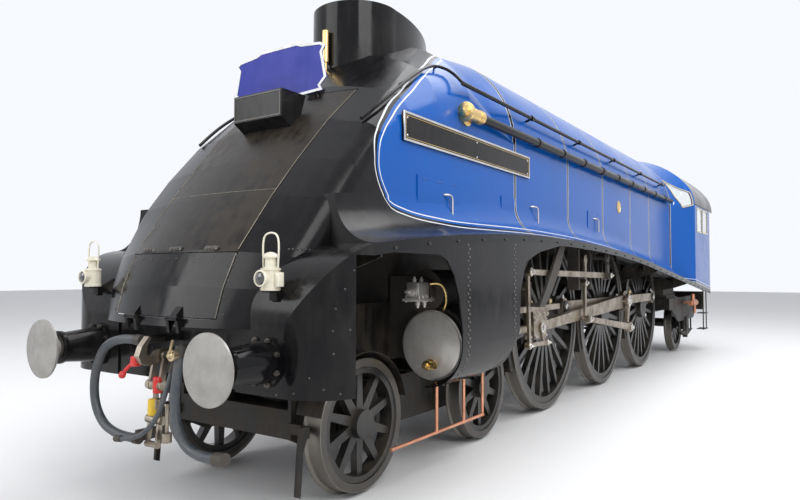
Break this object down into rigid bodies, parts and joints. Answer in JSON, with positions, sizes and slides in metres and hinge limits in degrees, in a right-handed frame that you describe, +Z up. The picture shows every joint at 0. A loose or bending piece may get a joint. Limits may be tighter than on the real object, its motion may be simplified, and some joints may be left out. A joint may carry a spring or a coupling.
{
  "type": "steam locomotive",
  "caption": "Streamlined express steam locomotive with a wedge nose, opening nose doors, turning wheels and outside motion, in blue and black",
  "frame": {"origin": "Centre of the bounding box seen from above, at its lowest point, the wheel flanges; the rail head is 28 mm higher.", "axes": "+X forward along the engine, +Y to its left, +Z up"},
  "size_m": [13.677, 2.744, 4.016],
  "materials": {
    "gloss_black": "gloss black paint",
    "gloss_blue": "gloss blue paint",
    "wheel_black": "satin black with worn bright treads",
    "motion_steel": "oiled bare steel",
    "frame_black": "satin black, dusty",
    "brass": "polished",
    "cream": "gloss cream paint",
    "rubber_hose": "ribbed canvas and rubber",
    "window_glass": "clear",
    "copper": "dull copper",
    "boiler_iron": "matt black heat resistant paint",
    "floor_wood": "worn planks",
    "buffer_steel": "ground steel, greased",
    "leather_seat": "dark, worn"
  },
  "bodies": {
    "engine": {"air_hose": "rubber_hose", "backhead": "boiler_iron", "boiler": "boiler_iron", "boiler_casing": "gloss_blue", "brake_gear": "frame_black", "buffer_beam": "gloss_black", "buffer_heads": "buffer_steel", "buffer_stocks": "gloss_black", "cab_floor": "floor_wood", "cab_front": "gloss_blue", "cab_roof": "gloss_black", "cab_seats": "leather_seat", "cab_side_left": "gloss_blue", "cab_side_right": "gloss_blue", "cab_windows": "window_glass", "chimney": "gloss_black", "connecting_rods": "motion_steel", "crossheads": "motion_steel", "cylinders": "boiler_iron", "deck_brackets": "frame_black", "drain_pipes": "copper", "driving_axleboxes": "frame_black", "eccentric_rods": "motion_steel", "ejector_pipe": "frame_black", "expansion_links": "motion_steel", "footsteps": "frame_black", "front_skirt": "gloss_black", "handrails": "motion_steel", "hook_and_coupling": "motion_steel", "hose_fittings": "frame_black", "injectors": "copper", "lamps": "cream", "main_frames": "frame_black", "motion_brackets": "frame_black", "nameplates": "gloss_black", "nose_casing": "gloss_black", "running_plates": "gloss_black", "slide_bars": "motion_steel", "steam_hose": "rubber_hose", "trailing_axleboxes": "frame_black", "trailing_frames": "frame_black", "vacuum_hose": "rubber_hose", "valances": "gloss_black", "valve_levers": "motion_steel", "whistle": "brass"},
    "bogie": {"bogie_frame": "frame_black", "bogie_axleboxes": "frame_black"},
    "bogie_front_axle": {"bogie_front_wheelset": "wheel_black"},
    "bogie_rear_axle": {"bogie_rear_wheelset": "wheel_black"},
    "driver_1_axle": {"driver_1_wheelset": "wheel_black"},
    "driver_2_axle": {"driver_2_wheelset": "wheel_black"},
    "driver_3_axle": {"driver_3_wheelset": "wheel_black"},
    "trailing_axle": {"trailing_wheelset": "wheel_black"},
    "coupling_rods_left_body": {"coupling_rods_left": "motion_steel"},
    "coupling_rods_right_body": {"coupling_rods_right": "motion_steel"},
    "upper_door": {"nose_door_upper": "gloss_black", "headboard": "gloss_blue", "number_plate_box": "gloss_black"},
    "lower_door": {"nose_door_lower": "gloss_black"}
  },
  "joints": [
    {"name": "bogie_swing", "type": "hinge", "parent": "engine", "child": "bogie", "pos_m": [4.406, 0, 0.728], "axis": [0, 0, 1], "range_deg": [-2.5, 2.5]},
    {"name": "bogie_front_roll", "type": "hinge", "parent": "bogie", "child": "bogie_front_axle", "pos_m": [5.3585, 0, 0.5105], "axis": [0, 1, 0], "continuous": true},
    {"name": "bogie_rear_roll", "type": "hinge", "parent": "bogie", "child": "bogie_rear_axle", "pos_m": [3.4535, 0, 0.5105], "axis": [0, 1, 0], "continuous": true},
    {"name": "driver_2_roll", "type": "hinge", "parent": "engine", "child": "driver_2_axle", "pos_m": [-0.4325, 0, 1.044], "axis": [0, 1, 0], "continuous": true},
    {"name": "driver_1_roll", "type": "hinge", "parent": "engine", "child": "driver_1_axle", "pos_m": [1.7775, 0, 1.044], "axis": [0, 1, 0], "continuous": true},
    {"name": "driver_3_roll", "type": "hinge", "parent": "engine", "child": "driver_3_axle", "pos_m": [-2.6425, 0, 1.044], "axis": [0, 1, 0], "continuous": true},
    {"name": "trailing_roll", "type": "hinge", "parent": "engine", "child": "trailing_axle", "pos_m": [-5.5385, 0, 0.587], "axis": [0, 1, 0], "continuous": true},
    {"name": "coupling_rod_left_pin", "type": "hinge", "parent": "driver_2_axle", "child": "coupling_rods_left_body", "pos_m": [-0.71537, 0.908, 1.21396], "axis": [0, 1, 0], "continuous": true},
    {"name": "coupling_rod_right_pin", "type": "hinge", "parent": "driver_2_axle", "child": "coupling_rods_right_body", "pos_m": [-0.14388, -0.908, 1.20399], "axis": [0, 1, 0], "continuous": true},
    {"name": "upper_door_hinge", "type": "hinge", "parent": "engine", "child": "upper_door", "pos_m": [5.2705, 0, 3.072], "axis": [0, -1, 0], "range_deg": [0, 50]},
    {"name": "lower_door_hinge", "type": "hinge", "parent": "engine", "child": "lower_door", "pos_m": [6.5725, 0, 1.322], "axis": [0, 1, 0], "range_deg": [0, 80]}
  ],
  "couplings": [
    {"joint": "driver_1_roll", "follows": "driver_2_roll", "ratio": 1},
    {"joint": "driver_3_roll", "follows": "driver_2_roll", "ratio": 1},
    {"joint": "coupling_rod_left_pin", "follows": "driver_2_roll", "ratio": -1},
    {"joint": "coupling_rod_right_pin", "follows": "driver_2_roll", "ratio": -1}
  ]
}
